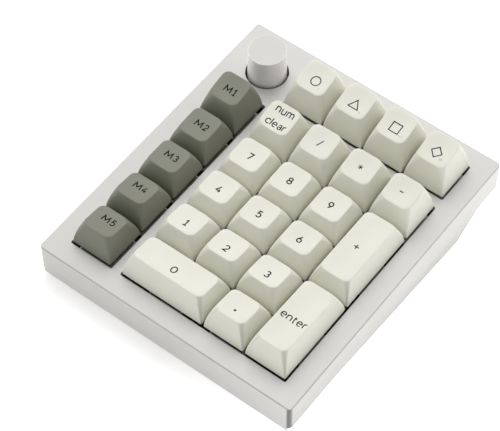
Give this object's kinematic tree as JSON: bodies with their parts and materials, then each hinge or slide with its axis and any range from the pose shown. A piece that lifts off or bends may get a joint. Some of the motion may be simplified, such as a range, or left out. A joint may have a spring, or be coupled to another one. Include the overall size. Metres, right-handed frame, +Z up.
{
  "type": "numeric keypad",
  "caption": "Desktop numeric keypad with sprung keycaps, a macro column and a round knob in a low wedge-shaped two-part case.",
  "frame": {"origin": "on the table, under the middle of the case's outline", "axes": "+X to the user's right, +Y to the back, +Z up"},
  "size_m": [0.1174, 0.137, 0.0445],
  "materials": {
    "case_metal": "fine-blasted and coated in a warm off-white",
    "cap_cream": "dense matt keycap plastic with printed legends",
    "cap_sage": "dense matt keycap plastic with printed legends",
    "knob_metal": "bead-blasted and clear",
    "foot_rubber": "matt",
    "screw_steel": "plated",
    "gasket_foam": "closed-cell foam strip",
    "sheet_foam": "cut foam sheet",
    "plate_steel": "satin",
    "board": "glass-fibre board with a green mask",
    "brass": "turned",
    "copper": "stamped copper alloy",
    "clear_plastic": "clear",
    "milky_plastic": "milky white",
    "spring_steel": "drawn wire",
    "black_plastic": "moulded",
    "battery_foil": "laminate pouch",
    "wire_cover": "wire insulation"
  },
  "bodies": {
    "base": {"top_case": "case_metal", "bottom_case": "case_metal", "rubber_feet": "foot_rubber", "case_screws": "screw_steel", "gaskets": "gasket_foam", "switch_plate": "plate_steel", "plate_foam": "sheet_foam", "circuit_board": "board", "case_foam": "sheet_foam", "pcb_standoffs": "brass", "plate_screws": "screw_steel", "pcb_screws": "screw_steel", "switch_top_housings": "clear_plastic", "switch_bottom_housings": "milky_plastic", "switch_springs": "spring_steel", "switch_contacts": "copper", "switch_sockets": "black_plastic", "diodes": "black_plastic", "stabiliser_housings": "black_plastic", "encoder_body": "plate_steel", "usb_socket": "plate_steel", "mode_switch_body": "plate_steel", "battery": "battery_foil", "battery_lead": "wire_cover", "battery_connector": "milky_plastic", "controller_chip": "black_plastic", "radio_module": "plate_steel"},
    "key_macro_1": {"key_macro_1": "cap_sage"},
    "key_macro_2": {"key_macro_2": "cap_sage"},
    "key_macro_3": {"key_macro_3": "cap_sage"},
    "key_macro_4": {"key_macro_4": "cap_sage"},
    "key_macro_5": {"key_macro_5": "cap_sage"},
    "key_circle": {"key_circle": "cap_cream"},
    "key_triangle": {"key_triangle": "cap_cream"},
    "key_square": {"key_square": "cap_cream"},
    "key_diamond": {"key_diamond": "cap_cream"},
    "key_num_clear": {"key_num_clear": "cap_cream"},
    "key_divide": {"key_divide": "cap_cream"},
    "key_multiply": {"key_multiply": "cap_cream"},
    "key_minus": {"key_minus": "cap_cream"},
    "key_plus": {"key_plus": "cap_cream"},
    "key_enter": {"key_enter": "cap_cream"},
    "key_7": {"key_7": "cap_cream"},
    "key_8": {"key_8": "cap_cream"},
    "key_9": {"key_9": "cap_cream"},
    "key_4": {"key_4": "cap_cream"},
    "key_5": {"key_5": "cap_cream"},
    "key_6": {"key_6": "cap_cream"},
    "key_1": {"key_1": "cap_cream"},
    "key_2": {"key_2": "cap_cream"},
    "key_3": {"key_3": "cap_cream"},
    "key_0": {"key_0": "cap_cream"},
    "key_point": {"key_point": "cap_cream"},
    "stabiliser_wire_plus": {"stabiliser_wire_plus": "spring_steel"},
    "stabiliser_wire_enter": {"stabiliser_wire_enter": "spring_steel"},
    "stabiliser_wire_0": {"stabiliser_wire_0": "spring_steel"},
    "encoder_rotor": {"encoder_rotor": "brass"},
    "knob": {"encoder_shaft": "plate_steel", "knob": "knob_metal"},
    "mode_slider": {"mode_slider": "black_plastic"}
  },
  "joints": [
    {"name": "press_macro_1", "type": "slide", "parent": "base", "child": "key_macro_1", "axis": [0, 0.0906, -0.9959], "range_m": [0, 0.004], "stiffness_N_per_m": 60, "springref_m": -0.005, "deforming": ["switch_springs"]},
    {"name": "press_macro_2", "type": "slide", "parent": "base", "child": "key_macro_2", "axis": [0, 0.0906, -0.9959], "range_m": [0, 0.004], "stiffness_N_per_m": 60, "springref_m": -0.005, "deforming": ["switch_springs"]},
    {"name": "press_macro_3", "type": "slide", "parent": "base", "child": "key_macro_3", "axis": [0, 0.0906, -0.9959], "range_m": [0, 0.004], "stiffness_N_per_m": 60, "springref_m": -0.005, "deforming": ["switch_springs"]},
    {"name": "press_macro_4", "type": "slide", "parent": "base", "child": "key_macro_4", "axis": [0, 0.0906, -0.9959], "range_m": [0, 0.004], "stiffness_N_per_m": 60, "springref_m": -0.005, "deforming": ["switch_springs"]},
    {"name": "press_macro_5", "type": "slide", "parent": "base", "child": "key_macro_5", "axis": [0, 0.0906, -0.9959], "range_m": [0, 0.004], "stiffness_N_per_m": 60, "springref_m": -0.005, "deforming": ["switch_springs"]},
    {"name": "press_circle", "type": "slide", "parent": "base", "child": "key_circle", "axis": [0, 0.0906, -0.9959], "range_m": [0, 0.004], "stiffness_N_per_m": 60, "springref_m": -0.005, "deforming": ["switch_springs"]},
    {"name": "press_triangle", "type": "slide", "parent": "base", "child": "key_triangle", "axis": [0, 0.0906, -0.9959], "range_m": [0, 0.004], "stiffness_N_per_m": 60, "springref_m": -0.005, "deforming": ["switch_springs"]},
    {"name": "press_square", "type": "slide", "parent": "base", "child": "key_square", "axis": [0, 0.0906, -0.9959], "range_m": [0, 0.004], "stiffness_N_per_m": 60, "springref_m": -0.005, "deforming": ["switch_springs"]},
    {"name": "press_diamond", "type": "slide", "parent": "base", "child": "key_diamond", "axis": [0, 0.0906, -0.9959], "range_m": [0, 0.004], "stiffness_N_per_m": 60, "springref_m": -0.005, "deforming": ["switch_springs"]},
    {"name": "press_num_clear", "type": "slide", "parent": "base", "child": "key_num_clear", "axis": [0, 0.0906, -0.9959], "range_m": [0, 0.004], "stiffness_N_per_m": 60, "springref_m": -0.005, "deforming": ["switch_springs"]},
    {"name": "press_divide", "type": "slide", "parent": "base", "child": "key_divide", "axis": [0, 0.0906, -0.9959], "range_m": [0, 0.004], "stiffness_N_per_m": 60, "springref_m": -0.005, "deforming": ["switch_springs"]},
    {"name": "press_multiply", "type": "slide", "parent": "base", "child": "key_multiply", "axis": [0, 0.0906, -0.9959], "range_m": [0, 0.004], "stiffness_N_per_m": 60, "springref_m": -0.005, "deforming": ["switch_springs"]},
    {"name": "press_minus", "type": "slide", "parent": "base", "child": "key_minus", "axis": [0, 0.0906, -0.9959], "range_m": [0, 0.004], "stiffness_N_per_m": 60, "springref_m": -0.005, "deforming": ["switch_springs"]},
    {"name": "press_plus", "type": "slide", "parent": "base", "child": "key_plus", "axis": [0, 0.0906, -0.9959], "range_m": [0, 0.004], "stiffness_N_per_m": 60, "springref_m": -0.005, "deforming": ["switch_springs"]},
    {"name": "press_enter", "type": "slide", "parent": "base", "child": "key_enter", "axis": [0, 0.0906, -0.9959], "range_m": [0, 0.004], "stiffness_N_per_m": 60, "springref_m": -0.005, "deforming": ["switch_springs"]},
    {"name": "press_7", "type": "slide", "parent": "base", "child": "key_7", "axis": [0, 0.0906, -0.9959], "range_m": [0, 0.004], "stiffness_N_per_m": 60, "springref_m": -0.005, "deforming": ["switch_springs"]},
    {"name": "press_8", "type": "slide", "parent": "base", "child": "key_8", "axis": [0, 0.0906, -0.9959], "range_m": [0, 0.004], "stiffness_N_per_m": 60, "springref_m": -0.005, "deforming": ["switch_springs"]},
    {"name": "press_9", "type": "slide", "parent": "base", "child": "key_9", "axis": [0, 0.0906, -0.9959], "range_m": [0, 0.004], "stiffness_N_per_m": 60, "springref_m": -0.005, "deforming": ["switch_springs"]},
    {"name": "press_4", "type": "slide", "parent": "base", "child": "key_4", "axis": [0, 0.0906, -0.9959], "range_m": [0, 0.004], "stiffness_N_per_m": 60, "springref_m": -0.005, "deforming": ["switch_springs"]},
    {"name": "press_5", "type": "slide", "parent": "base", "child": "key_5", "axis": [0, 0.0906, -0.9959], "range_m": [0, 0.004], "stiffness_N_per_m": 60, "springref_m": -0.005, "deforming": ["switch_springs"]},
    {"name": "press_6", "type": "slide", "parent": "base", "child": "key_6", "axis": [0, 0.0906, -0.9959], "range_m": [0, 0.004], "stiffness_N_per_m": 60, "springref_m": -0.005, "deforming": ["switch_springs"]},
    {"name": "press_1", "type": "slide", "parent": "base", "child": "key_1", "axis": [0, 0.0906, -0.9959], "range_m": [0, 0.004], "stiffness_N_per_m": 60, "springref_m": -0.005, "deforming": ["switch_springs"]},
    {"name": "press_2", "type": "slide", "parent": "base", "child": "key_2", "axis": [0, 0.0906, -0.9959], "range_m": [0, 0.004], "stiffness_N_per_m": 60, "springref_m": -0.005, "deforming": ["switch_springs"]},
    {"name": "press_3", "type": "slide", "parent": "base", "child": "key_3", "axis": [0, 0.0906, -0.9959], "range_m": [0, 0.004], "stiffness_N_per_m": 60, "springref_m": -0.005, "deforming": ["switch_springs"]},
    {"name": "press_0", "type": "slide", "parent": "base", "child": "key_0", "axis": [0, 0.0906, -0.9959], "range_m": [0, 0.004], "stiffness_N_per_m": 60, "springref_m": -0.005, "deforming": ["switch_springs"]},
    {"name": "press_point", "type": "slide", "parent": "base", "child": "key_point", "axis": [0, 0.0906, -0.9959], "range_m": [0, 0.004], "stiffness_N_per_m": 60, "springref_m": -0.005, "deforming": ["switch_springs"]},
    {"name": "wire_swing_plus", "type": "hinge", "parent": "base", "child": "stabiliser_wire_plus", "pos_m": [0.03208, -0.00222, 0.01474], "axis": [0, 0.9959, 0.0906], "range_deg": [0, 25.61]},
    {"name": "wire_swing_enter", "type": "hinge", "parent": "base", "child": "stabiliser_wire_enter", "pos_m": [0.03208, -0.04016, 0.01129], "axis": [0, 0.9959, 0.0906], "range_deg": [0, 25.61]},
    {"name": "wire_swing_0", "type": "hinge", "parent": "base", "child": "stabiliser_wire_0", "pos_m": [-0.00714, -0.05802, 0.00966], "axis": [-1, 0, 0], "range_deg": [0, 25.61]},
    {"name": "knob_turn", "type": "hinge", "parent": "base", "child": "encoder_rotor", "pos_m": [-0.04048, 0.0499, 0.02009], "axis": [0, -0.0906, 0.9959], "continuous": true},
    {"name": "knob_push", "type": "slide", "parent": "encoder_rotor", "child": "knob", "axis": [0, 0.0906, -0.9959], "range_m": [0, 0.0005], "stiffness_N_per_m": 800, "springref_m": -0.002},
    {"name": "mode_slide", "type": "slide", "parent": "base", "child": "mode_slider", "axis": [1, 0, 0], "range_m": [-0.002, 0.002]}
  ],
  "couplings": [
    {"joint": "wire_swing_plus", "follows": "press_plus", "rad_per_m": 111.7},
    {"joint": "wire_swing_enter", "follows": "press_enter", "rad_per_m": 111.7},
    {"joint": "wire_swing_0", "follows": "press_0", "rad_per_m": 111.7}
  ]
}
